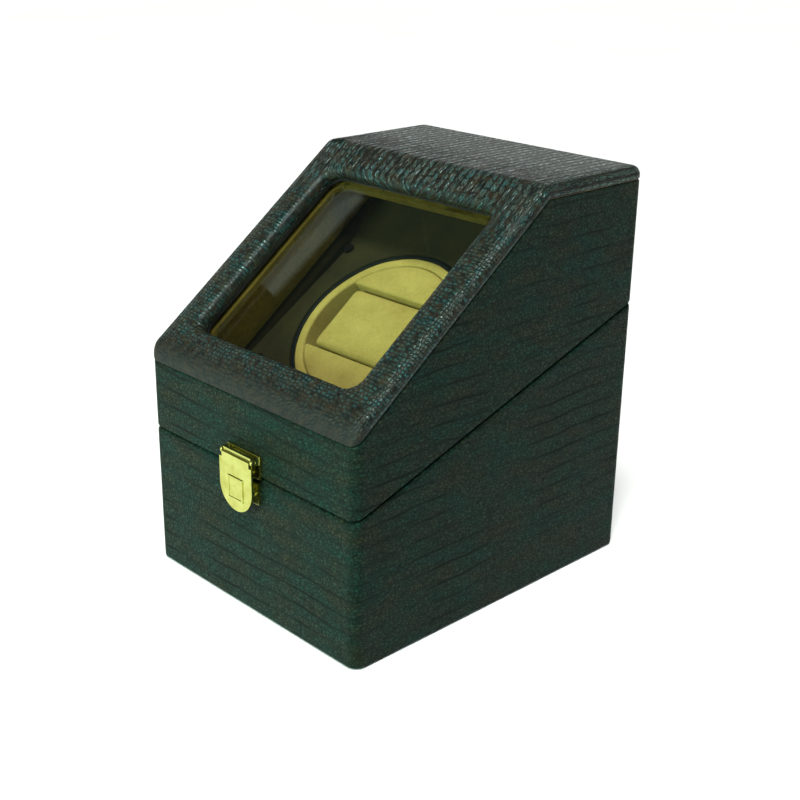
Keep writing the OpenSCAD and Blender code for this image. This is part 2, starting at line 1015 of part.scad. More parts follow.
module hinge_base_screws() {
    color([0.8, 0.64, 0.28])
        hinge_screws(false);
}

module hinge_lid_screws() {
    color([0.8, 0.64, 0.28])
        hinge_screws(true);
}

// ---- Latch ----

module latch_plate() {
    plate_low = part_front_h + part_gap + 0.2;
    color([0.86, 0.72, 0.26])
        difference() {
            union() {
                translate([-flap_w / 2, front_y - latch_plate_t, plate_low])
                    cube([flap_w, latch_plate_t, 84.2 - plate_low]);
                for (side = [-1, 1])
                    translate([side > 0 ? latch_ear_x : -latch_ear_x - latch_ear_t, 0, 0]) {
                        translate([0, latch_y, latch_z])
                            rotate([0, 90, 0])
                                cylinder(h = latch_ear_t, r = 1.7);
                        translate([0, latch_y, latch_z - 1.7])
                            cube([latch_ear_t, front_y - latch_y, 3.4]);
                    }
            }
            translate([-flap_w, latch_y, latch_z])
                rotate([0, 90, 0])
                    cylinder(h = 2 * flap_w, r = latch_pin_r);
            for (x = [-1, 1])
                translate([x * 6, front_y + 1, 75.6])
                    rotate([90, 0, 0])
                        cylinder(h = 4, r = 0.9);
        }
}

module latch_screw_pair() {
    for (x = [-1, 1])
        translate([x * 6, front_y - latch_plate_t, 75.6])
            rotate([90, 0, 0])
                screw(1.7, 0.7, 0.9, 5);
}

module latch_plate_screws() {
    color([0.86, 0.72, 0.26])
        latch_screw_pair();
}

module latch_pin() {
    color([0.82, 0.68, 0.25])
        translate([-latch_ear_x - latch_ear_t, latch_y, latch_z])
            rotate([0, 90, 0])
                cylinder(h = 2 * (latch_ear_x + latch_ear_t), r = latch_pin_r);
}

// Front outline of the flap about the pin's height: narrow neck, broad plate, round foot
module flap_outline() {
    foot_r = flap_w / 2;
    drop = flap_h - flap_barrel_r;
    translate([-flap_neck_w / 2, -4])
        square([flap_neck_w, 4]);
    translate([-flap_w / 2, foot_r - drop])
        square([flap_w, drop - foot_r - 2.6]);
    translate([0, foot_r - drop])
        circle(foot_r);
}

module latch_flap() {
    front = front_y - flap_standoff;
    color([0.9, 0.76, 0.28])
        difference() {
            union() {
                translate([0, front + flap_t, latch_z])
                    rotate([90, 0, 0])
                        linear_extrude(flap_t)
                            flap_outline();
                translate([-5.5, front - 0.5, latch_z - 21.6])
                    cube([11, 0.6, 11.4]);
            }
            translate([-flap_w, latch_y, latch_z])
                rotate([0, 90, 0])
                    cylinder(h = 2 * flap_w, r = latch_pin_r + running_gap);
            translate([-4.6, front + 0.4, latch_z - 20.8])
                cube([9.2, 3, 9.8]);
            translate([-4.6, front - 1, latch_z - 20.8])
                cube([9.2, 0.8, 9.8]);
        }
}

// Rolled knuckle behind the flap's neck, turning on the pin
module flap_knuckle() {
    color([0.9, 0.76, 0.28])
        difference() {
            translate([-flap_neck_w / 2, latch_y, latch_z])
                rotate([0, 90, 0])
                    cylinder(h = flap_neck_w, r = flap_barrel_r);
            translate([-flap_w, front_y - flap_standoff - 5, latch_z - 5])
                cube([2 * flap_w, 5 + flap_t, 10]);
            translate([-flap_w, latch_y, latch_z])
                rotate([0, 90, 0])
                    cylinder(h = 2 * flap_w, r = latch_pin_r + running_gap);
        }
}

module latch_strike() {
    color([0.86, 0.72, 0.26])
        difference() {
            union() {
                translate([-10.5, front_y - latch_plate_t, strike_z - 5.5])
                    cube([21, latch_plate_t, 11]);
                translate([-3, front_y - flap_standoff + flap_t + 0.15, strike_z + 1.5])
                    cube([6, flap_standoff - flap_t - 0.15, 3.4]);
            }
            for (x = [-1, 1])
                translate([x * 7, front_y + 1, strike_z])
                    rotate([90, 0, 0])
                        cylinder(h = 4, r = 0.9);
        }
}

module strike_screw_pair() {
    for (x = [-1, 1])
        translate([x * 7, front_y - latch_plate_t, strike_z])
            rotate([90, 0, 0])
                screw(1.7, 0.7, 0.9, 5);
}

module strike_screws() {
    color([0.86, 0.72, 0.26])
        strike_screw_pair();
}

bottom_felt();
bottom_panel();
base_carcass();
base_leather();
base_lining();
module_cheeks();
module_back();
deck_panel();
motor_plate();
plate_standoffs();
standoff_screws();
shaft_bush();
gear_motor();
motor_screws();
circuit_board();
board_parts();
board_standoffs();
rear_plate();
rear_plate_screws();
dc_jack();
switch_body();
wiring();
hinge_base_leaves();
hinge_pins();
hinge_base_screws();
latch_strike();
strike_screws();
switch_rocker();
drum_cup();
drum_lining();
drum_wings();
drum_hub();
hub_screws();
drum_shaft();
drum_gear();
shaft_clip();
motor_pinion();
motor_shaft();
cushion_foam();
cushion_cover();
cushion_end_caps();
lid_carcass();
lid_leather();
lid_lining();
cover_board();
cover_foam();
cover_leather();
glass_gasket();
glass_pane();
glass_frame();
frame_screws();
hinge_lid_leaves();
hinge_lid_screws();
latch_plate();
latch_pin();
latch_plate_screws();
latch_flap();
flap_knuckle();
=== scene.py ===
"""Looks of the watch winder box: embossed leather, velvet drum and cushion, suede, gold latch, glass."""
import json
import math

import bpy
import numpy as np
from mathutils import Matrix, Vector


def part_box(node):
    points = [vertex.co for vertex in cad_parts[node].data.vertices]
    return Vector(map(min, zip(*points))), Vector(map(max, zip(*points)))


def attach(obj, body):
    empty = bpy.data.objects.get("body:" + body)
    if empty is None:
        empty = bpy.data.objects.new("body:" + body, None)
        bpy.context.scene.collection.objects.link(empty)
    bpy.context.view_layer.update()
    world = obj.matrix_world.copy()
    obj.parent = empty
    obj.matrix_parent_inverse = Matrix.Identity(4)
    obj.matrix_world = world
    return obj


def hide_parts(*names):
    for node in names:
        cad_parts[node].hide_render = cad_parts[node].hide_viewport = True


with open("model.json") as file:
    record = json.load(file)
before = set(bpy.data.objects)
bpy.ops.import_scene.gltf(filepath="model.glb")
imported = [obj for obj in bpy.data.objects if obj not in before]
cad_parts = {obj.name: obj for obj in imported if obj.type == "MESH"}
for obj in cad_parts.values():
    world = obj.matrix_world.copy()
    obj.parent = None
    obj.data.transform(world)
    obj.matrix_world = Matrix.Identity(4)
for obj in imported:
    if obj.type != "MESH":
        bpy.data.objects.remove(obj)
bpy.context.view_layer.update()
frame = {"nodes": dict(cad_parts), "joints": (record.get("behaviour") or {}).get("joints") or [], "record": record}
NODES = frame["nodes"]
MM = 0.001
SCENE = bpy.context.scene

# ---------------------------------------------------------------- frame values, in metres

LOW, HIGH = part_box("base_leather")
JOINTS = {j["name"]: j for j in frame["joints"]}
DRUM_CENTRE = Vector(JOINTS["drum_spin"]["pos_m"])
DRUM_AXIS = Vector(JOINTS["drum_spin"]["axis"]).normalized()
SLANT = math.atan2(-DRUM_AXIS.y, DRUM_AXIS.z)
HALF_W = HIGH.x
HALF_D = HIGH.y
WALL_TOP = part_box("lid_leather")[1].z
COVER_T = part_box("cover_leather")[1].z - WALL_TOP
CORNER_R = 5.5 * MM
PART_FRONT = 72 * MM
PART_BACK = 134 * MM
PART_GAP = 0.6 * MM
BEND_Y = 24.2 * MM
SLANT_FRONT = WALL_TOP - (HALF_D + BEND_Y) * math.tan(SLANT)
SKIN_T = 1.0 * MM
LIP_W = 5.0 * MM
BASE_TURN_IN = 7.6 * MM
WALL_RELIEF = 0.22 * MM

# ---------------------------------------------------------------- camera, first

CAMERA_AT = Vector((0.4483, -0.4285, 0.3291))
CAMERA_RIGHT = Vector((0.69098, 0.72274, 0.01400))
CAMERA_FORWARD = Vector((-0.66856, 0.64630, -0.36786))
CAMERA_LENS = 59.77


def make_camera():
    data = bpy.data.cameras.new("camera")
    data.lens = CAMERA_LENS
    data.sensor_width = 36
    data.clip_start = 0.01
    data.clip_end = 50
    cam = bpy.data.objects.new("camera", data)
    SCENE.collection.objects.link(cam)
    back = -CAMERA_FORWARD.normalized()
    right = CAMERA_RIGHT.normalized()
    up = back.cross(right).normalized()
    right = up.cross(back)
    m = Matrix((right, up, back)).transposed().to_4x4()
    m.translation = CAMERA_AT
    cam.matrix_world = m
    SCENE.camera = cam


make_camera()

# ---------------------------------------------------------------- number helpers


def smooth(a, b, x):
    t = np.clip((x - a) / (b - a), 0, 1)
    return t * t * (3 - 2 * t)


def dice(i, j, seed):
    """Repeatable pseudo-random numbers in 0..1 for whole-number grids."""
    h = np.sin(i * 127.1 + j * 311.7 + seed * 74.7) * 43758.5453
    return h - np.floor(h)


def noise2(x, y, seed=0):
    """Smooth value noise, 0..1, one feature per unit."""
    xi, yi = np.floor(x), np.floor(y)
    fx, fy = x - xi, y - yi
    fx, fy = fx * fx * (3 - 2 * fx), fy * fy * (3 - 2 * fy)
    low = dice(xi, yi, seed) * (1 - fx) + dice(xi + 1, yi, seed) * fx
    top = dice(xi, yi + 1, seed) * (1 - fx) + dice(xi + 1, yi + 1, seed) * fx
    return low * (1 - fy) + top * fy


def lines(across, along, spacing, width, seed):
    """Long wandering creases: 1 in a crease, 0 between them; they fade in and out along their length."""
    wander = 0.5 * spacing * (noise2(along / 0.034, across / 0.03, seed) - 0.5)
    wander = wander + 0.14 * spacing * (noise2(along / 0.007, across / 0.01, seed + 9) - 0.5)
    row = (across + wander) / spacing
    nearest = np.floor(row + 0.5)
    offset = np.abs(row - nearest) * spacing
    shown = smooth(0.2, 0.6, noise2(along / 0.045 + 7 * nearest, nearest * 3.7, seed + 2))
    return np.exp(-((offset / width) ** 2)) * shown


# ---------------------------------------------------------------- leather relief: 0 in a crease, 1 above


def wall_relief(p, z):
    """The case's walls: p runs round the case, z up. Only the slow waves of leather glued over board."""
    return 0.5 + 0.5 * noise2(p / 0.021, z / 0.013, 3) * noise2(p / 0.09, z / 0.05, 4)


def cover_relief(s, x):
    """The padded cover: s runs from the front edge up the slope, x across. Grooves run up to the bend."""
    long_part = smooth(98 * MM, 128 * MM, s)
    top = smooth(158 * MM, 175 * MM, s)
    gap = 4.5 * MM
    grooves = lines(x, s, gap, 0.6 * MM, 31)
    halves = lines(x + 2.2 * MM, s, gap, 0.4 * MM, 33)
    deep = 1 - 0.85 * grooves * (1 - 0.8 * top) - 0.45 * halves * (1 - top)
    quilted = 0.85 + 0.15 * noise2(x / 0.006, s / 0.006, 6)
    return np.clip(quilted * (1 - long_part) + deep * long_part, 0, 1)


# ---------------------------------------------------------------- mesh helpers


def add_mesh(name, verts, faces, mat, uv=None, relief=None):
    """A smooth piece from numpy vertices; uv is per vertex, relief is kept for the leather's colours."""
    me = bpy.data.meshes.new(name)
    me.from_pydata([tuple(v) for v in verts], [], [tuple(f) for f in faces])
    me.materials.append(mat)
    if uv is not None:
        layer = me.uv_layers.new(name="grain")
        loops = np.zeros(len(me.loops), np.int32)
        me.loops.foreach_get("vertex_index", loops)
        layer.data.foreach_set("uv", np.asarray(uv, np.float32)[loops].ravel())
    if relief is not None:
        att = me.attributes.new("relief", "FLOAT", "POINT")
        att.data.foreach_set("value", np.asarray(relief, np.float32))
    me.polygons.foreach_set("use_smooth", [True] * len(me.polygons))
    me.update()
    obj = bpy.data.objects.new(name, me)
    SCENE.collection.objects.link(obj)
    return obj


def loop_faces(rows, cols, close_rows=True):
    """Quads of a grid whose columns close on themselves, and whose rows do too if asked."""
    r = np.arange(rows if close_rows else rows - 1)
    c = np.arange(cols)
    rr, cc = np.meshgrid(r, c, indexing="ij")
    rn, cn = (rr + 1) % rows, (cc + 1) % cols
    return np.stack([rr * cols + cc, rr * cols + cn, rn * cols + cn, rn * cols + cc], -1).reshape(-1, 4)


def arc(cx, cy, r, a0, a1, n):
    """n points on an arc, angles in degrees."""
    a = np.radians(np.linspace(a0, a1, n))
    return np.stack([cx + r * np.cos(a), cy + r * np.sin(a)], -1)


def roll(radius, angles):
    """Steps of a rounded edge, (inset, drop) at each angle: 90 is its crest, 0 where it turns plumb."""
    turns = [math.radians(a) for a in angles]
    return [(radius * (1 - math.cos(t)), radius * (1 - math.sin(t))) for t in turns]


def normals_of(grid):
    """Vertex normals of a closed (rows, cols, 3) grid, pointing as the faces do."""
    du = np.roll(grid, -1, 1) - np.roll(grid, 1, 1)
    dv = np.roll(grid, -1, 0) - np.roll(grid, 1, 0)
    n = np.cross(du, dv)
    return n / np.maximum(np.linalg.norm(n, axis=-1, keepdims=True), 1e-12)


# ---------------------------------------------------------------- materials


def new_material(name):
    mat = bpy.data.materials.new(name)
    mat.use_nodes = True
    nt = mat.node_tree
    nt.nodes.clear()
    out = nt.nodes.new("ShaderNodeOutputMaterial")
    bsdf = nt.nodes.new("ShaderNodeBsdfPrincipled")
    nt.links.new(bsdf.outputs[0], out.inputs[0])
    return mat, nt, bsdf


def node(nt, kind, **values):
    """A shader node with its settings and unlinked inputs given by name."""
    n = nt.nodes.new(kind)
    for key, value in values.items():
        if hasattr(n, key):
            setattr(n, key, value)
        else:
            n.inputs[key.replace("_", " ")].default_value = value
    return n


def ramp(nt, source, stops):
    """Colour ramp through (place, colour) stops."""
    n = nt.nodes.new("ShaderNodeValToRGB")
    cr = n.color_ramp
    while len(cr.elements) < len(stops):
        cr.elements.new(0.5)
    for e, (place, colour) in zip(cr.elements, stops):
        e.position = place
        e.color = (*colour, 1) if len(colour) == 3 else colour
    nt.links.new(source, n.inputs[0])
    return n.outputs[0]


def grey(v):
    return (v, v, v)


def mix_colour(nt, fac, a, b, blend="MIX"):
    n = nt.nodes.new("ShaderNodeMix")
    n.data_type = "RGBA"
    n.blend_type = blend
    for socket, value in ((n.inputs[0], fac), (n.inputs[6], a), (n.inputs[7], b)):
        if hasattr(value, "is_output"):
            nt.links.new(value, socket)
        elif isinstance(value, tuple):
            socket.default_value = (*value, 1)
        else:
            socket.default_value = value
    return n.outputs[2]


def maths(nt, op, a, b=0.0):
    n = nt.nodes.new("ShaderNodeMath")
    n.operation = op
    for socket, value in zip(n.inputs, (a, b)):
        if hasattr(value, "is_output"):
            nt.links.new(value, socket)
        else:
            socket.default_value = value
    return n.outputs[0]


def times(nt, a, b):
    return maths(nt, "MULTIPLY", a, b)


def mask(nt, source, start, end):
    """A soft step from 0 at start to 1 at end."""
    return ramp(nt, source, [(start, grey(0)), (end, grey(1))])


def noise(nt, vector, scale, detail=3.0, rough=0.6):
    n = node(nt, "ShaderNodeTexNoise", Scale=scale, Detail=detail, Roughness=rough)
    nt.links.new(vector, n.inputs["Vector"])
    return n.outputs[0]


def cells(nt, vector, scale, steep, randomness=1.0):
    """0 on the borders between scales, rising to 1 inside each one; scale is how many a metre."""
    n = node(nt, "ShaderNodeTexVoronoi", feature="DISTANCE_TO_EDGE", Scale=scale, Randomness=randomness)
    nt.links.new(vector, n.inputs["Vector"])
    return maths(nt, "MINIMUM", times(nt, n.outputs["Distance"], steep), 1.0)


def stretched(nt, vector, sx, sy, sz=1.0):
    n = nt.nodes.new("ShaderNodeMapping")
    n.inputs["Scale"].default_value = (sx, sy, sz)
    nt.links.new(vector, n.inputs["Vector"])
    return n.outputs[0]


def bump(nt, bsdf, height, distance, strength=1.0, under=None):
    """Relief of a given depth in metres, over an earlier bump if one is given."""
    n = node(nt, "ShaderNodeBump", Strength=strength, Distance=distance)
    nt.links.new(height, n.inputs["Height"])
    if under is not None:
        nt.links.new(under, n.inputs["Normal"])
    nt.links.new(n.outputs[0], bsdf.inputs["Normal"])
    return n.outputs[0]


def surface(nt, bsdf, colour, rough):
    """Links a colour and a roughness to the shader."""
    nt.links.new(colour, bsdf.inputs["Base Color"])
    nt.links.new(rough, bsdf.inputs["Roughness"])


def object_coords(nt):
    return nt.nodes.new("ShaderNodeTexCoord").outputs["Object"]


def split_uv(nt):
    """The grain map's two directions, in metres."""
    uv = node(nt, "ShaderNodeUVMap", uv_map="grain").outputs[0]
    parts = nt.nodes.new("ShaderNodeSeparateXYZ")
    nt.links.new(uv, parts.inputs[0])
    return uv, parts.outputs[0], parts.outputs[1]


def creases(nt, uv, across, along_scale, spacing, width, wander, seed, shown):
    """Long wandering dark lines: 1 in the line, 0 between; shown is where a slow noise fades them in."""
    moved = nt.nodes.new("ShaderNodeMapping")
    moved.inputs["Location"].default_value = (seed, 2.3 * seed, 0)
    moved.inputs["Scale"].default_value = along_scale
    nt.links.new(uv, moved.inputs["Vector"])
    wobble = noise(nt, moved.outputs[0], 1.0, 3, 0.55)
    rows = maths(nt, "ADD", maths(nt, "DIVIDE", across, spacing), times(nt, wobble, wander))
    off = maths(nt, "ABSOLUTE", maths(nt, "SUBTRACT", maths(nt, "FRACT", rows), 0.5))
    line = ramp(nt, off, [(0.0, grey(1)), (width / spacing * 0.5, grey(0.55)), (width / spacing, grey(0))])
    fade = noise(nt, moved.outputs[0], 1.7, 2)
    return times(nt, line, mask(nt, fade, *shown))


def leather_finish(nt, bsdf, height, colour, gloss, depth, shine, dull=0.0):
    """Joins one grain height to colour, gloss and bump, with pores over it. dull is the least roughness."""
    pores = noise(nt, object_coords(nt), 2600, 2)
    both = maths(nt, "ADD", times(nt, height, 0.75), times(nt, pores, 0.25))
    rough = maths(nt, "MAXIMUM", ramp(nt, both, [(0.2, grey(gloss + 0.3)), (0.85, grey(gloss))]), dull)
    surface(nt, bsdf, colour, rough)
    first = bump(nt, bsdf, height, depth, 1.0)
    bump(nt, bsdf, pores, 0.04 * MM, 0.4, first)
    bsdf.inputs["Specular IOR Level"].default_value = shine


def wall_leather(name):
    """Green-black leatherette with fine scales, long level creases and brown where the finish is rubbed off; the
    creases, the gaps between the scales and a soft band beside each crease are painted darker as shade.
    """
    mat, nt, bsdf = new_material(name)
    uv, _, up = split_uv(nt)
    net = cells(nt, stretched(nt, uv, 0.75, 1.2), 560, 3.2)
    crackle = cells(nt, stretched(nt, uv, 0.7, 1.3), 1300, 5.0)
    long_gap, short_gap = 8.8 * MM, 4.6 * MM
    long_lines = creases(nt, uv, up, (13, 11, 1), long_gap, 0.9 * MM, 1.1, 3.1, (0.42, 0.66))
    short_lines = creases(nt, uv, up, (20, 20, 1), short_gap, 0.5 * MM, 1.1, 7.7, (0.48, 0.72))
    # Painted shadow: a soft wide band beside each long crease.
    crease_shadow_bands = creases(nt, uv, up, (13, 11, 1), long_gap, 4.2 * MM, 1.1, 3.1, (0.2, 0.5))
    # The crease lines sink the bump and are also painted near black as shade.
    dark = maths(nt, "MAXIMUM", long_lines, times(nt, short_lines, 0.6))
    height = maths(nt, "ADD", times(nt, net, 0.55), times(nt, crackle, 0.45))
    height = times(nt, height, maths(nt, "SUBTRACT", 1.0, dark))
    cloud = noise(nt, stretched(nt, uv, 0.6, 1.4), 60, 4, 0.65)
    green, brown = (0.004, 0.033, 0.023), (0.021, 0.025, 0.011)
    ground = mix_colour(nt, mask(nt, cloud, 0.4, 0.62), green, brown)
    mottle = ramp(nt, noise(nt, uv, 420, 4, 0.7), [(0.3, grey(0.4)), (0.7, grey(1.75))])
    ground = mix_colour(nt, 1.0, ground, mottle, "MULTIPLY")
    # Painted shade: the gaps between the scales, where the height is low, are painted near black.
    ground = mix_colour(nt, mask(nt, height, 0.15, 0.85), (0.001, 0.002, 0.0015), ground)
    # Painted shadow beside the long creases.
    ground = mix_colour(nt, times(nt, crease_shadow_bands, 0.35), ground, (0.003, 0.009, 0.008))
    # Painted shade in the creases.
    colour = mix_colour(nt, times(nt, dark, 0.7), ground, (0.003, 0.004, 0.002))
    leather_finish(nt, bsdf, height, colour, 0.34, 0.3 * MM, 0.09)
    bsdf.inputs["Specular Tint"].default_value = (0.62, 1.0, 0.8, 1)
    return mat


def cover_leather(name):
    """Padded reptile grain: small blue-black scales, brown between them under painted shade, grooves and bands
    above painted dark as shade; the front roll is painted darker as shade and the flat top lighter as a painted
    highlight.
    """
    mat, nt, bsdf = new_material(name)
    uv, across, up = split_uv(nt)
    deep = node(nt, "ShaderNodeAttribute", attribute_name="relief").outputs["Fac"]
    warp = nt.nodes.new("ShaderNodeVectorMath")
    warp.operation = "ADD"
    shift = nt.nodes.new("ShaderNodeMapping")
    shift.inputs["Scale"].default_value = (1.6 * MM, 1.6 * MM, 0)
    drift = node(nt, "ShaderNodeTexNoise", Scale=130.0, Detail=2.0)
    nt.links.new(uv, drift.inputs["Vector"])
    nt.links.new(drift.outputs[1], shift.inputs["Vector"])
    nt.links.new(uv, warp.inputs[0])
    nt.links.new(shift.outputs[0], warp.inputs[1])
    pebble = cells(nt, stretched(nt, warp.outputs[0], 0.8, 1.05), 500.0, 2.6, 0.48)
    fibre = cells(nt, stretched(nt, warp.outputs[0], 1.15, 0.38), 620.0, 4.5, 0.9)
    long_part = mask(nt, up, 100 * MM, 128 * MM)
    grain = nt.nodes.new("ShaderNodeMix")
    for socket, value in ((0, long_part), (2, pebble), (3, fibre)):
        nt.links.new(value, grain.inputs[socket])
    groove_gap = 4.6 * MM
    grooves = creases(nt, uv, across, (11, 7, 1), groove_gap, 1.1 * MM, 1.0, 5.3, (0.2, 0.4))
    grooves = times(nt, grooves, long_part)
    height = times(nt, grain.outputs[0], deep)
    top = mask(nt, up, 155 * MM, 175 * MM)
    height = maths(nt, "MAXIMUM", height, times(nt, top, 0.3))
    height = times(nt, height, maths(nt, "SUBTRACT", 1.0, grooves))
    # Painted shade: wide dark bands along the grooves on the flat top, where the relief itself is nearly flat.
    bands = creases(nt, uv, across, (11, 7, 1), groove_gap, 2.1 * MM, 1.0, 5.3, (0.1, 0.3))
    bands = times(nt, bands, top)
    cloud = noise(nt, uv, 95, 4, 0.65)
    blue, brown = (0.013, 0.053, 0.05), (0.032, 0.031, 0.017)
    crown = mix_colour(nt, mask(nt, cloud, 0.4, 0.65), blue, brown)
    # Painted highlight: the flat top is painted a lighter green for the light it reflects.
    crown = mix_colour(nt, top, crown, (0.036, 0.068, 0.05))
    # Painted shade: the front roll, which faces down and away from the light, is painted dark brown; the same mask
    # also makes it rougher.
    low = ramp(nt, up, [(2 * MM, grey(1)), (12 * MM, grey(0))])
    crown = mix_colour(nt, times(nt, low, 0.9), crown, (0.009, 0.005, 0.002))
    # Painted shade: where the grain is low the colour runs from near black to dark brown, so the crevices between
    # the scales are shaded as well as brown.
    crevice_brown_and_shade = ramp(nt, noise(nt, uv, 240, 3), [(0.42, (0.002, 0.0016, 0.001)), (0.68, (0.018, 0.011, 0.004))])
    colour = mix_colour(nt, mask(nt, height, 0.2, 0.8), crevice_brown_and_shade, crown)
    # Painted shade in the top's grooves.
    colour = mix_colour(nt, times(nt, bands, 0.8), colour, (0.006, 0.005, 0.003))
    leather_finish(nt, bsdf, height, colour, 0.18, 0.26 * MM, 0.27, times(nt, low, 0.62))
    bsdf.inputs["Specular Tint"].default_value = (0.72, 1.0, 0.97, 1)
    return mat


def velvet(name, dark, light, nap=1.0):
    """Short pile: mottled by the direction the nap lies in, with a soft sheen."""
    mat, nt, bsdf = new_material(name)
    at = object_coords(nt)
    fibre = noise(nt, at, 2400, 4, 0.75)
    nap_patch = noise(nt, at, 55, 4, 0.6)
    tufts = noise(nt, at, 700, 3, 0.6)
    both = maths(nt, "ADD", times(nt, nap_patch, 0.6), times(nt, tufts, 0.4))
    colour = ramp(nt, both, [(0.3, dark), (0.7, light)])
    speck = ramp(nt, fibre, [(0.25, grey(0.75)), (0.75, grey(1.1))])
    rough = ramp(nt, fibre, [(0.2, grey(0.8)), (0.8, grey(0.97))])
    surface(nt, bsdf, mix_colour(nt, 1.0, colour, speck, "MULTIPLY"), rough)
    bsdf.inputs["Specular IOR Level"].default_value = 0.2
    bsdf.inputs["Sheen Weight"].default_value = 0.35 * nap
    bsdf.inputs["Sheen Roughness"].default_value = 0.45
    bsdf.inputs["Sheen Tint"].default_value = (*light, 1)
    first = bump(nt, bsdf, fibre, 0.12 * MM, 0.7)
    bump(nt, bsdf, nap_patch, 0.6 * MM, 0.35, first)
    return mat


def metal(name, colour, dull, rough=0.2, scratch=0.35):
    """Plated metal: fine polishing lines, tarnish in patches and slightly rougher where handled."""
    mat, nt, bsdf = new_material(name)
    at = object_coords(nt)
    polish = noise(nt, stretched(nt, at, 1, 1, 12), 900, 3)
    tarnish = noise(nt, at, 130, 5, 0.65)
    both = maths(nt, "ADD", times(nt, polish, 0.5), times(nt, tarnish, 0.5))
    gloss = ramp(nt, both, [(0.3, grey(rough)), (0.75, grey(rough + 0.16))])
    surface(nt, bsdf, mix_colour(nt, mask(nt, tarnish, 0.4, 0.75), colour, dull), gloss)
    bsdf.inputs["Metallic"].default_value = 1.0
    bump(nt, bsdf, polish, 0.03 * MM, scratch)
    return mat


def plastic(name, colour, rough=0.4, texture=0.5):
    """Moulded plastic: fine spark-eroded texture and faint flow marks."""
    mat, nt, bsdf = new_material(name)
    at = object_coords(nt)
    spark = noise(nt, at, 1800, 3)
    flow = noise(nt, stretched(nt, at, 1, 1, 3), 60, 3)
    tone = ramp(nt, flow, [(0.3, tuple(0.85 * c for c in colour)), (0.7, tuple(1.15 * c for c in colour))])
    surface(nt, bsdf, tone, ramp(nt, spark, [(0.3, grey(rough - 0.06)), (0.7, grey(rough + 0.1))]))
    bump(nt, bsdf, spark, 0.04 * MM, texture)
    return mat


def fibreboard(name):
    """Raw board: pressed fibres with darker flecks."""
    mat, nt, bsdf = new_material(name)
    at = object_coords(nt)
    fleck = noise(nt, stretched(nt, at, 1, 1, 4), 900, 4, 0.7)
    sheet = noise(nt, at, 70, 3)
    colour = ramp(nt, fleck, [(0.3, (0.2, 0.13, 0.075)), (0.7, (0.42, 0.3, 0.19))])
    tone = ramp(nt, sheet, [(0.3, grey(0.85)), (0.7, grey(1.05))])
    nt.links.new(mix_colour(nt, 1.0, colour, tone, "MULTIPLY"), bsdf.inputs["Base Color"])
    bsdf.inputs["Roughness"].default_value = 0.85
    bump(nt, bsdf, fleck, 0.1 * MM, 0.5)
    return mat


def circuit(name):
    """Green solder mask over copper tracks."""
    mat, nt, bsdf = new_material(name)
    at = object_coords(nt)
    tracks = node(nt, "ShaderNodeTexBrick", Scale=260, offset=0.37)
    tracks.inputs["Mortar Size"].default_value = 0.12
    tracks.inputs["Color1"].default_value = (0.01, 0.13, 0.05, 1)
    tracks.inputs["Color2"].default_value = (0.012, 0.1, 0.045, 1)
    tracks.inputs["Mortar"].default_value = (0.03, 0.24, 0.09, 1)
    nt.links.new(at, tracks.inputs["Vector"])
    dust = noise(nt, at, 300, 3)
    surface(nt, bsdf, tracks.outputs[0], ramp(nt, dust, [(0.3, grey(0.25)), (0.8, grey(0.45))]))
    bump(nt, bsdf, tracks.outputs[1], 0.03 * MM, 0.5)
    return mat


def glass(name):
    """Clear pane: see-through with a mirror-like skin that strengthens at low angles, and faint dust."""
    mat, nt, bsdf = new_material(name)
    at = object_coords(nt)
    out = [n for n in nt.nodes if n.type == "OUTPUT_MATERIAL"][0]
    bsdf.inputs["Base Color"].default_value = (0.55, 0.62, 0.58, 1)
    bsdf.inputs["Metallic"].default_value = 1.0
    dust = noise(nt, at, 1500, 3, 0.7)
    nt.links.new(ramp(nt, dust, [(0.5, grey(0.015)), (0.8, grey(0.05))]), bsdf.inputs["Roughness"])
    clear = node(nt, "ShaderNodeBsdfTransparent", Color=(0.97, 0.985, 0.955, 1))
    angle = node(nt, "ShaderNodeLayerWeight", Blend=0.5)
    rising = [(0.0, grey(0.045)), (0.5, grey(0.07)), (0.75, grey(0.2)), (1.0, grey(0.9))]
    shine = ramp(nt, angle.outputs["Facing"], rising)
    mix = nt.nodes.new("ShaderNodeMixShader")
    film = maths(nt, "ADD", shine, times(nt, dust, 0.012))
    nt.links.new(film, mix.inputs[0])
    nt.links.new(clear.outputs[0], mix.inputs[1])
    nt.links.new(bsdf.outputs[0], mix.inputs[2])
    nt.links.new(mix.outputs[0], out.inputs[0])
    return mat


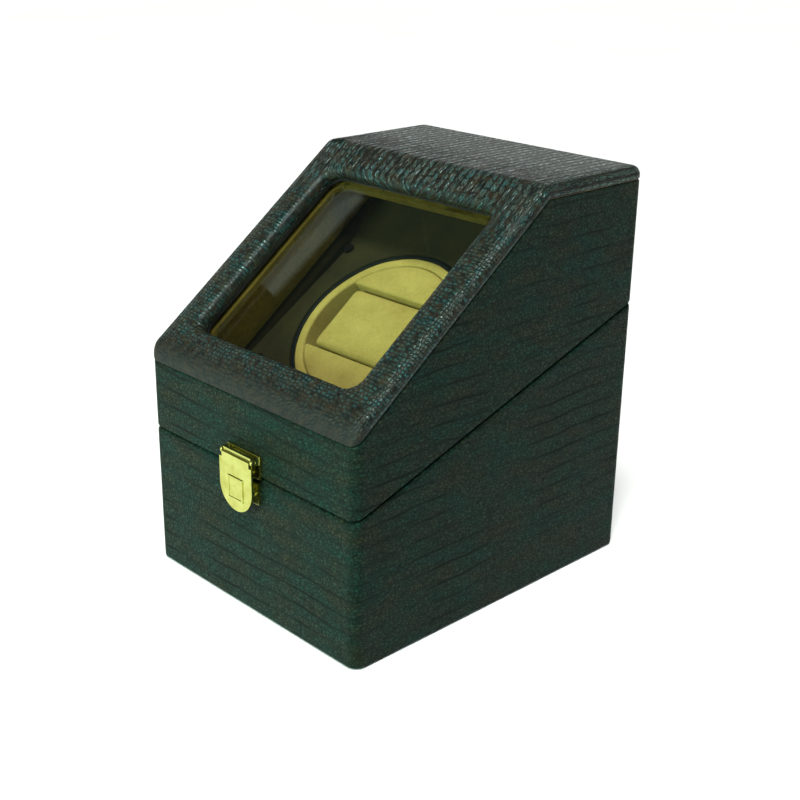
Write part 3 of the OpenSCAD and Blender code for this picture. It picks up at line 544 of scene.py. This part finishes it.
MAT = {
    "case_leather": wall_leather("case_leather"),
    "cover_leather": cover_leather("cover_leather"),
    "lid_suede": velvet("lid_suede", (0.2, 0.12, 0.008), (0.46, 0.3, 0.026), 0.5),
    # Painted shade: the window frame's velvet is a much darker copy of the beige velvet, standing in for the shade
    # it lies in under the cover's rolled edge.
    "shaded_frame_suede": velvet("shaded_frame_suede", (0.045, 0.032, 0.003), (0.12, 0.09, 0.009), 0.3),
    "deck_suede": velvet("deck_suede", (0.012, 0.011, 0.003), (0.03, 0.026, 0.006), 0.25),
    "beige_velvet": velvet("beige_velvet", (0.3, 0.23, 0.052), (0.46, 0.37, 0.1), 0.8),
    "cushion_velvet": velvet("cushion_velvet", (0.31, 0.235, 0.052), (0.45, 0.365, 0.1), 0.8),
    "felt": velvet("felt", (0.008, 0.008, 0.009), (0.025, 0.025, 0.027), 0.5),
    "foam": velvet("foam", (0.4, 0.38, 0.3), (0.6, 0.58, 0.5), 0.3),
    "board": fibreboard("board"),
    "latch_gold": metal("latch_gold", (0.56, 0.56, 0.16), (0.4, 0.37, 0.06), 0.14),
    "hinge_brass": metal("hinge_brass", (0.8, 0.6, 0.22), (0.5, 0.34, 0.1), 0.24),
    "steel": metal("steel", (0.62, 0.62, 0.64), (0.42, 0.42, 0.43), 0.25),
    "black_screws": metal("black_screws", (0.05, 0.05, 0.05), (0.02, 0.02, 0.02), 0.35),
    "bronze": metal("bronze", (0.62, 0.42, 0.18), (0.36, 0.22, 0.09), 0.35),
    "black_plastic": plastic("black_plastic", (0.018, 0.018, 0.02), 0.45),
    "rocker_plastic": plastic("rocker_plastic", (0.012, 0.012, 0.014), 0.2, 0.15),
    "cup_plastic": plastic("cup_plastic", (0.004, 0.007, 0.008), 0.3, 0.15),
    "white_nylon": plastic("white_nylon", (0.72, 0.7, 0.62), 0.5),
    "wire_insulation": plastic("wire_insulation", (0.35, 0.02, 0.015), 0.4),
    "circuit_laminate": circuit("circuit_laminate"),
    "glass": glass("glass"),
}

# ---------------------------------------------------------------- CAD nodes that stay

SLOT_OF = {p["node"]: p["material_slot"] for p in frame["record"]["subparts"]}
# The glass frame's look is the velvet darkened as painted shade.
LOOK_OF = {"glass_frame": "shaded_frame_suede", "standoff_screws": "black_screws"}
# Widths of the softened edges, in millimetres
EDGE = {
    "latch_flap": 0.28, "latch_plate": 0.22, "latch_strike": 0.22, "latch_plate_screws": 0.2,
    "strike_screws": 0.2, "hinge_base_leaves": 0.2, "hinge_lid_leaves": 0.2, "hinge_base_screws": 0.2,
    "hinge_lid_screws": 0.2, "rear_plate": 0.4, "rear_plate_screws": 0.25, "switch_body": 0.3,
    "switch_rocker": 0.4, "dc_jack": 0.3, "glass_frame": 0.5, "deck_panel": 0.35, "module_cheeks": 0.4,
    "drum_cup": 0.15, "board_parts": 0.3, "bottom_felt": 0.4, "motor_plate": 0.3,
}


def dress_nodes():
    """Gives every CAD node its slot's material, and the nodes in EDGE a small bevel."""
    for name, obj in NODES.items():
        mat = MAT[LOOK_OF.get(name, SLOT_OF[name])]
        obj.data.materials.clear()
        obj.data.materials.append(mat)
        if name in EDGE:
            weld = obj.modifiers.new("weld", "WELD")
            weld.merge_threshold = 1e-6
            bevel = obj.modifiers.new("soft_edge", "BEVEL")
            bevel.width = EDGE[name] * MM
            bevel.segments = 2
            bevel.limit_method = "ANGLE"
            bevel.angle_limit = math.radians(40)
            bevel.harden_normals = False


dress_nodes()

# ---------------------------------------------------------------- leather skins of base and lid


def part_z(y):
    return PART_FRONT + (y + HALF_D) * (PART_BACK - PART_FRONT) / (2 * HALF_D)


def roof_z(y):
    """Top of the lid walls, under the cover."""
    return np.minimum(WALL_TOP, SLANT_FRONT + (y + HALF_D) * math.tan(SLANT))


def plan_loop(count):
    """Evenly spaced distances round the case, and the distances where each straight and corner ends."""
    straight_x = 2 * (HALF_W - CORNER_R)
    straight_y = 2 * (HALF_D - CORNER_R)
    quarter = CORNER_R * math.pi / 2
    stops = np.cumsum([0] + 2 * [straight_x, quarter, straight_y, quarter])
    return np.linspace(0, stops[-1], count, endpoint=False), stops


def plan_points(p, stops, offset):
    """Points of the plan's outline moved outwards by offset, from the front left, anticlockwise."""
    r = max(CORNER_R + offset, 0.3 * MM)
    cx, cy = HALF_W + offset - r, HALF_D + offset - r
    corners = [(-cx, -cy), (cx, -cy), (cx, cy), (-cx, cy)]
    x, y = np.zeros_like(p), np.zeros_like(p)
    for k in range(4):
        a, b = corners[k], corners[(k + 1) % 4]
        nx, ny = [(0, -1), (1, 0), (0, 1), (-1, 0)][k]
        on = (p >= stops[2 * k]) & (p < stops[2 * k + 1])
        t = (p[on] - stops[2 * k]) / (stops[2 * k + 1] - stops[2 * k])
        x[on] = a[0] + (b[0] - a[0]) * t + nx * r
        y[on] = a[1] + (b[1] - a[1]) * t + ny * r
        on = (p >= stops[2 * k + 1]) & (p <= stops[2 * k + 2])
        t = (p[on] - stops[2 * k + 1]) / (stops[2 * k + 2] - stops[2 * k + 1])
        start = math.atan2(ny, nx)
        x[on] = b[0] + r * np.cos(start + t * math.pi / 2)
        y[on] = b[1] + r * np.sin(start + t * math.pi / 2)
    return x, y


def wall_skin(name, low, high, r_low, r_high, inner_low, rows, count, body, cad_node):
    """A leather skin round the case between two heights given as functions of y, with rolled edges."""
    p, stops = plan_loop(count)
    turn = 7
    ring = []
    for inset, lift in roll(r_low, np.linspace(90, 0, turn)):
        ring.append((-inset, 0.0, lift))
    for t in np.linspace(0, 1, rows)[1:-1]:
        ring.append((0.0, t, r_low * (1 - t) - r_high * t))
    for inset, drop in roll(r_high, np.linspace(0, 90, turn)):
        ring.append((-inset, 1.0, -drop))
    face_end = len(ring)
    ring += [(-LIP_W, 1.0, 0.0), (-LIP_W, 1.0, -SKIN_T)]
    ring += [(-SKIN_T, 1.0, -SKIN_T - r_high), (-SKIN_T, 0.0, SKIN_T + r_low)]
    ring += [(-inner_low, 0.0, SKIN_T), (-inner_low, 0.0, 0.0)]
    grid = np.zeros((len(ring), count, 3))
    for i, (offset, t, dz) in enumerate(ring):
        x, y = plan_points(p, stops, offset)
        grid[i] = np.stack([x, y, low(y) * (1 - t) + high(y) * t + dz], -1)
    along = np.broadcast_to(p, grid.shape[:2])
    shown = np.zeros(len(ring))
    shown[1:face_end - 1] = 1.0
    sunk = (wall_relief(along, grid[:, :, 2]) - 1) * WALL_RELIEF * shown[:, None]
    grid = grid + normals_of(grid) * sunk[..., None]
    uv = np.stack([along, grid[:, :, 2]], -1).reshape(-1, 2)
    obj = add_mesh(name, grid.reshape(-1, 3), loop_faces(len(ring), count), MAT["case_leather"], uv)
    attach(obj, body)
    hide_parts(cad_node)


def base_foot_z(y):
    return LOW.z + 0 * y


def lid_foot_z(y):
    return part_z(y) + PART_GAP


def lid_top_z(y):
    return roof_z(y) - 0.25 * MM


def make_walls():
    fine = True
    around = 1000 if fine else 620
    wall_skin("base_skin", base_foot_z, part_z, 0.9 * MM, 1.7 * MM, BASE_TURN_IN,
              120 if fine else 70, around, "base", "base_leather")
    wall_skin("lid_skin", lid_foot_z, lid_top_z, 1.7 * MM, 0.8 * MM, LIP_W,
              90 if fine else 56, around, "lid", "lid_leather")


# ---------------------------------------------------------------- padded cover with its window

BEND_R = 8 * MM
WINDOW_LOW = 23 * MM
WINDOW_HIGH = 130.5 * MM
WINDOW_HALF_W = 56.5 * MM
WINDOW_R = 7.5 * MM
COVER_RELIEF = 0.3 * MM
COVER_SWELL = 0.35 * MM


def cover_path():
    """The cover's outer surface seen from the side: start, slope length, arc length, flat length."""
    corner_y = BEND_Y - COVER_T * math.tan(SLANT / 2)
    front_z = SLANT_FRONT + COVER_T / math.cos(SLANT)
    cut = BEND_R * math.tan(SLANT / 2)
    slope = (corner_y + HALF_D) / math.cos(SLANT) - cut
    flat = HALF_D - corner_y - cut
    return (-HALF_D, front_z), slope, BEND_R * SLANT, flat


def cover_point(s, x, depth):
    """A place on the cover: s up the slope from the front edge, x across, depth under the outer surface."""
    (y0, z0), slope, bend, _ = cover_path()
    on_slope = np.minimum(s, slope)
    turn = np.clip((s - slope) / BEND_R, 0, SLANT)
    flat = np.maximum(s - slope - bend, 0)
    angle = SLANT - turn
    y = y0 + on_slope * math.cos(SLANT) + BEND_R * (math.sin(SLANT) - np.sin(angle)) + flat
    z = z0 + on_slope * math.sin(SLANT) + BEND_R * (np.cos(angle) - math.cos(SLANT))
    return np.stack([x, y + depth * np.sin(angle), z - depth * np.cos(angle)], -1)


def rect_loop(x0, x1, s0, s1, r, counts):
    """Round-cornered rectangle, anticlockwise from its front left; counts are across, along, per corner."""
    n_x, n_s, n_c = counts
    pts = []
    centres = [(x1 - r, s0 + r, -90), (x1 - r, s1 - r, 0), (x0 + r, s1 - r, 90), (x0 + r, s0 + r, 180)]
    starts = [(x0 + r, s0), (x1, s0 + r), (x1 - r, s1), (x0, s1 - r)]
    ends = [(x1 - r, s0), (x1, s1 - r), (x0 + r, s1), (x0, s0 + r)]
    for k in range(4):
        n = n_x if k % 2 == 0 else n_s
        t = np.linspace(0, 1, n, endpoint=False)[:, None]
        pts.append(np.array(starts[k]) * (1 - t) + np.array(ends[k]) * t)
        cx, cs, a = centres[k]
        pts.append(arc(cx, cs, r, a, a + 90, n_c + 1)[:-1])
    return np.concatenate(pts)


def make_cover():
    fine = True
    counts = (150, 190, 14) if fine else (80, 100, 8)
    across = 96 if fine else 44
    lip, crown, inner_crown = 1.2 * MM, 4.3 * MM, 4.1 * MM
    hem, hollow, foot = 1.1 * MM, 1.3 * MM, COVER_T - 0.3 * MM
    window_shift = COVER_T * math.tan(SLANT)
    _, slope, bend, flat = cover_path()
    total = slope + bend + flat
    low_s, high_s = WINDOW_LOW - window_shift, WINDOW_HIGH - window_shift

    def outer(inset, depth):
        """Outer edge, cut plumb: the front edge moves down the slope with depth."""
        return rect_loop(-HALF_W + inset, HALF_W - inset, inset - depth * math.tan(SLANT), total - inset,
                         max(CORNER_R - inset, 0.8 * MM), counts)

    def window(inset):
        return rect_loop(-WINDOW_HALF_W - inset, WINDOW_HALF_W + inset, low_s - inset, high_s + inset,
                         WINDOW_R + inset, counts)

    rings = []
    for rise, inset in roll(lip, np.linspace(0, 90, 5)):
        rings.append((outer(inset, COVER_T - rise), COVER_T - rise))
    for inset, depth in roll(crown, np.linspace(0, 90, 9)):
        rings.append((outer(inset, depth), depth))
    rim, inner = outer(crown, 0), window(inner_crown)
    for t in np.linspace(0, 1, across)[1:-1]:
        swell = -COVER_SWELL * math.sin(math.pi * t) ** 0.7
        rings.append((rim * (1 - t) + inner * t, swell))
    for inset, depth in roll(inner_crown, np.linspace(90, 0, 9)):
        rings.append((window(inset), depth))
    rings.append((window(0), foot))
    face_end = len(rings)
    rings += [(window(hem), depth) for depth in (foot, hollow)]
    rings += [(outer(hem + 0.05 * MM, depth), depth) for depth in (hollow, COVER_T)]
    flat_xy = np.stack([r[0] for r in rings])
    depth = np.array([r[1] for r in rings])[:, None]
    grid = cover_point(flat_xy[..., 1], flat_xy[..., 0], depth)
    height = cover_relief(flat_xy[..., 1] + 0 * depth, flat_xy[..., 0])
    shown = np.zeros(len(rings))
    shown[2:face_end - 1] = 1.0
    grid = grid + normals_of(grid) * ((height - 1) * COVER_RELIEF * shown[:, None])[..., None]
    side = np.clip(depth, 0, None)
    uv = np.stack([flat_xy[..., 0] + np.sign(flat_xy[..., 0]) * side, flat_xy[..., 1]], -1)
    obj = add_mesh("cover_skin", grid.reshape(-1, 3), loop_faces(*grid.shape[:2]), MAT["cover_leather"],
                   uv.reshape(-1, 2), height.ravel())
    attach(obj, "lid")
    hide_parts("cover_leather", "cover_foam")


make_walls()
make_cover()

# ---------------------------------------------------------------- drum: lining, wings, cushion

DRUM = Matrix.Translation(DRUM_CENTRE) @ Matrix.Rotation(SLANT, 4, "X")


def to_drum(points):
    """From the drum's own frame, z = 0 at the rim, to the row frame."""
    m = np.array(DRUM)
    return points @ m[:3, :3].T + m[:3, 3]


LINING_OUT = 44.9 * MM
LINING_IN = 40 * MM
CUP_DEPTH = 50 * MM
LINING_FLOOR = 2 * MM
CUP_CLEAR = 0.2 * MM
RIM_ROLL = 1.6 * MM
WING_AT = 20.1 * MM


def make_lining():
    """Velvet over a foam ring: a soft rolled rim, the tube's wall and its floor."""
    around = 200
    roll_r = (LINING_OUT - LINING_IN) / 2
    mid = (LINING_OUT + LINING_IN) / 2
    floor = -CUP_DEPTH + LINING_FLOOR
    under = -CUP_DEPTH + CUP_CLEAR
    outline = [(LINING_OUT, under), (LINING_OUT, -0.02), (LINING_OUT, -0.006)]
    for a in np.linspace(0, 180, 15):
        c, s = math.cos(math.radians(a)), math.sin(math.radians(a))
        rise = s ** 0.75 if s > 0 else 0
        outline.append((mid + roll_r * math.copysign(abs(c) ** 0.75, c), RIM_ROLL * (rise - 1)))
    outline += [(LINING_IN, z) for z in (-0.004, -0.012, -0.022, -0.034, -0.044)]
    outline += [(LINING_IN - 0.0006, -0.0472), (LINING_IN - 0.002, floor)]
    outline += [(r, floor) for r in (0.03, 0.018, 0.006)]
    outline += [(0.006, under)]
    a = np.linspace(0, 2 * math.pi, around, endpoint=False)
    grid = np.zeros((len(outline), around, 3))
    for i, (r, z) in enumerate(outline):
        soft = 0.25 * MM * (noise2(a * 5, np.full_like(a, i * 0.3), 51) - 0.5) * (1 if 3 < i < 22 else 0)
        grid[i] = np.stack([(r + soft) * np.cos(a), (r + soft) * np.sin(a), z + soft * 0.5], -1)
    obj = add_mesh("drum_velvet", to_drum(grid.reshape(-1, 3)), loop_faces(len(outline), around)[:, ::-1],
                   MAT["beige_velvet"])
    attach(obj, "drum")
    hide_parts("drum_lining")


def make_wing(side, name):
    """A D-shaped pad beside the cushion, flat on top with soft edges, reaching down the cup."""
    edge, clear, swell, swell_w = 1.6 * MM, 0.1 * MM, 0.1 * MM, 6 * MM
    floor = -CUP_DEPTH + LINING_FLOOR
    levels = [(clear, floor + CUP_CLEAR)] + [(clear, z) for z in np.linspace(floor, -edge, 9)]
    levels += [(inset + clear, -drop) for drop, inset in roll(edge, np.linspace(90, 0, 8))[1:]]
    for d in (1 * MM, 2.2 * MM, 3.6 * MM, 5 * MM):
        levels.append((edge + d, swell * (1 - (1 - d / swell_w) ** 2)))
    rings = []
    for inset, z in levels:
        r = LINING_IN - inset
        chord = WING_AT + inset
        half = math.acos(min(chord / r, 0.9999))
        a = np.linspace(math.pi / 2 - half, math.pi / 2 + half, 56)
        curve = np.stack([r * np.cos(a), r * np.sin(a)], -1)
        t = np.linspace(0, 1, 58)[1:-1, None]
        back = curve[-1] * (1 - t) + curve[0] * t
        ring = np.concatenate([curve, back])
        rings.append(np.concatenate([ring, np.full((len(ring), 1), z)], 1))
    smoothed = np.stack(rings)
    count = smoothed.shape[1]
    for _ in range(3):
        smoothed = 0.5 * smoothed + 0.25 * (np.roll(smoothed, 1, 1) + np.roll(smoothed, -1, 1))
    smoothed[:, :, :2] *= side
    verts = smoothed.reshape(-1, 3)
    faces = [tuple(f) for f in loop_faces(len(levels), count, close_rows=False)]
    top_ring = (len(levels) - 1) * count
    faces.append(tuple(range(count))[::-1])
    faces.append(tuple(range(top_ring, top_ring + count)))
    obj = add_mesh(name, to_drum(verts), faces, MAT["beige_velvet"])
    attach(obj, "drum")
    return obj


def make_wings():
    """Two pads, which stand for the one node that holds both wings."""
    back = make_wing(1, "drum_wing_back")
    make_wing(-1, "drum_wing_front")
    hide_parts("drum_wings")


CUSHION_HALF = Vector((31.5 * MM, 19.3 * MM, 23 * MM))
CUSHION_TOP_R = 3 * MM
CUSHION_LOW_R = 13 * MM
SEAM_AT = 29.6 * MM
SEAM_W = 0.45 * MM


def cushion_form(shrink):
    """A closed pillow in the drum's frame: a flat top, a round underside, and flat ends with soft edges."""
    hy, hz = CUSHION_HALF.y - shrink, CUSHION_HALF.z - shrink
    top, low = CUSHION_TOP_R - shrink * 0.5, CUSHION_LOW_R - shrink
    outline = []
    for y, z, r, a0 in ((hy, hz, top, 0), (-hy, hz, top, 90), (-hy, -hz, low, 180), (hy, -hz, low, 270)):
        outline.append(arc(y - math.copysign(r, y), z - math.copysign(r, z), r, a0, a0 + 90, 12))
    outline = np.concatenate(outline)
    half_x, edge = CUSHION_HALF.x - shrink, 1.6 * MM
    stations = [(-half_x + inset, drop) for inset, drop in roll(edge, np.linspace(0, 90, 5))]
    stations += [(x, 0) for x in np.linspace(-half_x + edge, half_x - edge, 26)[1:-1]]
    stations += [(-x, e) for x, e in stations[4::-1]]
    rings = []
    for x, inset in stations:
        scale = np.array([(hy - inset) / hy, (hz - inset) / hz])
        o = outline * scale
        rings.append(np.stack([np.full(len(o), x), o[:, 0], o[:, 1] - CUSHION_HALF.z], -1))
    grid = np.stack(rings)
    n = grid.shape[1]
    faces = [tuple(f) for f in loop_faces(len(rings), n, close_rows=False)]
    faces.append(tuple(range(n))[::-1])
    last = (len(rings) - 1) * n
    faces.append(tuple(range(last, last + n)))
    return grid.reshape(-1, 3), faces


def apply_modifiers(obj):
    dg = bpy.context.evaluated_depsgraph_get()
    me = bpy.data.meshes.new_from_object(obj.evaluated_get(dg))
    obj.modifiers.clear()
    old = obj.data
    obj.data = me
    bpy.data.meshes.remove(old)


def coords(me):
    co = np.zeros(len(me.vertices) * 3, np.float32)
    me.vertices.foreach_get("co", co)
    return co.reshape(-1, 3).astype(float)


def inflate(obj, voxel, pressure, steps, cap):
    """Fills a closed form as stuffing fills a cover, by cloth simulation; no point moves more than cap."""
    remesh = obj.modifiers.new("remesh", "REMESH")
    remesh.mode = "VOXEL"
    remesh.voxel_size = voxel
    apply_modifiers(obj)
    rest = coords(obj.data)
    cloth = obj.modifiers.new("cloth", "CLOTH")
    s = cloth.settings
    s.use_pressure = True
    s.uniform_pressure_force = pressure
    s.tension_stiffness = 12
    s.compression_stiffness = 12
    s.bending_stiffness = 0.4
    s.mass = 0.2
    s.effector_weights.gravity = 0
    cloth.point_cache.frame_start = 1
    cloth.point_cache.frame_end = steps
    for f in range(1, steps + 1):
        SCENE.frame_set(f)
    apply_modifiers(obj)
    SCENE.frame_set(1)
    moved = coords(obj.data) - rest
    length = np.linalg.norm(moved, axis=1, keepdims=True)
    moved *= np.minimum(1, cap / np.maximum(length, 1e-9))
    obj.data.vertices.foreach_set("co", (rest + moved).astype(np.float32).ravel())
    obj.data.update()


def make_cushion():
    """The watch cushion: a firm velvet pillow, sewn round both ends."""
    verts, faces = cushion_form(0.9 * MM)
    obj = add_mesh("watch_cushion", verts, faces, MAT["cushion_velvet"])
    inflate(obj, 1.2 * MM, 2.0, 14, 1.1 * MM)
    co = coords(obj.data)
    x = co[:, 0]
    seam = np.exp(-(((np.abs(x) - SEAM_AT) / SEAM_W) ** 2))
    centre = np.array([0, 0, -CUSHION_HALF.z])
    inward = centre - co
    inward[:, 0] = 0
    inward /= np.maximum(np.linalg.norm(inward, axis=1, keepdims=True), 1e-9)
    puff = 0.25 * MM * (noise2(x / 0.016, co[:, 1] / 0.014 + co[:, 2] / 0.02, 61) - 0.5)
    co += inward * (0.3 * MM * seam + puff)[:, None]
    obj.data.vertices.foreach_set("co", to_drum(co).astype(np.float32).ravel())
    obj.data.update()
    sub = obj.modifiers.new("smooth", "SUBSURF")
    sub.levels = sub.render_levels = 1
    apply_modifiers(obj)
    obj.data.polygons.foreach_set("use_smooth", [True] * len(obj.data.polygons))
    obj.data.materials.clear()
    obj.data.materials.append(MAT["cushion_velvet"])
    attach(obj, "cushion")
    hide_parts("cushion_cover", "cushion_end_caps", "cushion_foam")


make_lining()
make_wings()
make_cushion()

# ---------------------------------------------------------------- floor and light


def make_floor():
    mat, nt, bsdf = new_material("floor_paper")
    at = object_coords(nt)
    tone = ramp(nt, noise(nt, at, 3, 2), [(0.3, (0.86, 0.87, 0.86)), (0.7, (0.9, 0.9, 0.895))])
    nt.links.new(tone, bsdf.inputs["Base Color"])
    bsdf.inputs["Roughness"].default_value = 0.9
    bsdf.inputs["Specular IOR Level"].default_value = 0.1
    size = 6.0
    corners = [(x * size, y * size, 0) for x, y in ((-1, -1), (1, -1), (1, 1), (-1, 1))]
    me = bpy.data.meshes.new("floor")
    me.from_pydata(corners, [], [(0, 1, 2, 3)])
    me.materials.append(mat)
    floor = bpy.data.objects.new("floor", me)
    SCENE.collection.objects.link(floor)


def area_light(name, at, target, size, power, colour=(1, 1, 1), size_y=None):
    data = bpy.data.lights.new(name, "AREA")
    data.shape = "RECTANGLE"
    data.size = size
    data.size_y = size_y or size
    data.energy = power
    data.color = colour
    obj = bpy.data.objects.new(name, data)
    obj.location = at
    obj.rotation_mode = "QUATERNION"
    obj.rotation_quaternion = (Vector(target) - Vector(at)).to_track_quat("-Z", "Y")
    SCENE.collection.objects.link(obj)
    return obj


def make_window_card():
    """A long narrow card whose image shows as one faint streak in the pane."""
    streak = Vector((-0.043, -0.02, 0.166))
    card = area_light("far_window", (-0.785, -0.085, 0.835), streak, 0.026, 0.008, (0.85, 1.0, 1.0), 0.18)
    facing = (card.location - streak).normalized()
    along = Vector((-0.2, -0.84, -0.5))
    along = (along - along.dot(facing) * facing).normalized()
    card.rotation_quaternion = Matrix((along.cross(facing), along, facing)).transposed().to_quaternion()


def make_light():
    """A bright low horizon, a dim ceiling, a soft lamp overhead, one low at the front and two thin ones."""
    world = bpy.data.worlds.new("studio")
    SCENE.world = world
    world.use_nodes = True
    nt = world.node_tree
    way = nt.nodes.new("ShaderNodeTexCoord").outputs["Generated"]
    split = nt.nodes.new("ShaderNodeSeparateXYZ")
    nt.links.new(way, split.inputs[0])
    side, depth, rise = [times(nt, maths(nt, "ADD", out, 1.0), 0.5) for out in split.outputs]
    horizon, dusk, ceiling = (0.95, 0.98, 0.97), (0.05, 0.065, 0.06), (0.08, 0.09, 0.09)
    sky = ramp(nt, rise, [(0.68, horizon), (0.77, dusk), (1.0, ceiling)])
    dim = ramp(nt, side, [(0.6, grey(1.0)), (0.8, grey(0.14))])
    behind = ramp(nt, depth, [(0.3, grey(0.3)), (0.55, grey(1.0))])
    sky = mix_colour(nt, 1.0, sky, behind, "MULTIPLY")
    back = nt.nodes["Background"]
    nt.links.new(mix_colour(nt, 1.0, sky, dim, "MULTIPLY"), back.inputs[0])
    back.inputs[1].default_value = 1.0
    sun = bpy.data.lights.new("overhead", "SUN")
    sun.energy = 3.6
    sun.angle = math.radians(13)
    sun.color = (1.0, 0.99, 0.97)
    overhead = bpy.data.objects.new("overhead", sun)
    overhead.rotation_mode = "QUATERNION"
    overhead.rotation_quaternion = Vector((-0.255, 0.315, -0.907)).to_track_quat("-Z", "Y")
    SCENE.collection.objects.link(overhead)
    area_light("edge_strip", (0.62, -0.2, 0.78), (0.03, 0, 0.15), 0.025, 1.2, (0.7, 0.95, 1.0), 0.5)
    make_window_card()
    area_light("low_front", (-0.1, -1.25, 0.4), (0, -0.05, 0.09), 0.5, 19, (0.72, 1.0, 0.86))
    SCENE.view_settings.view_transform = "Standard"


make_floor()
make_light()
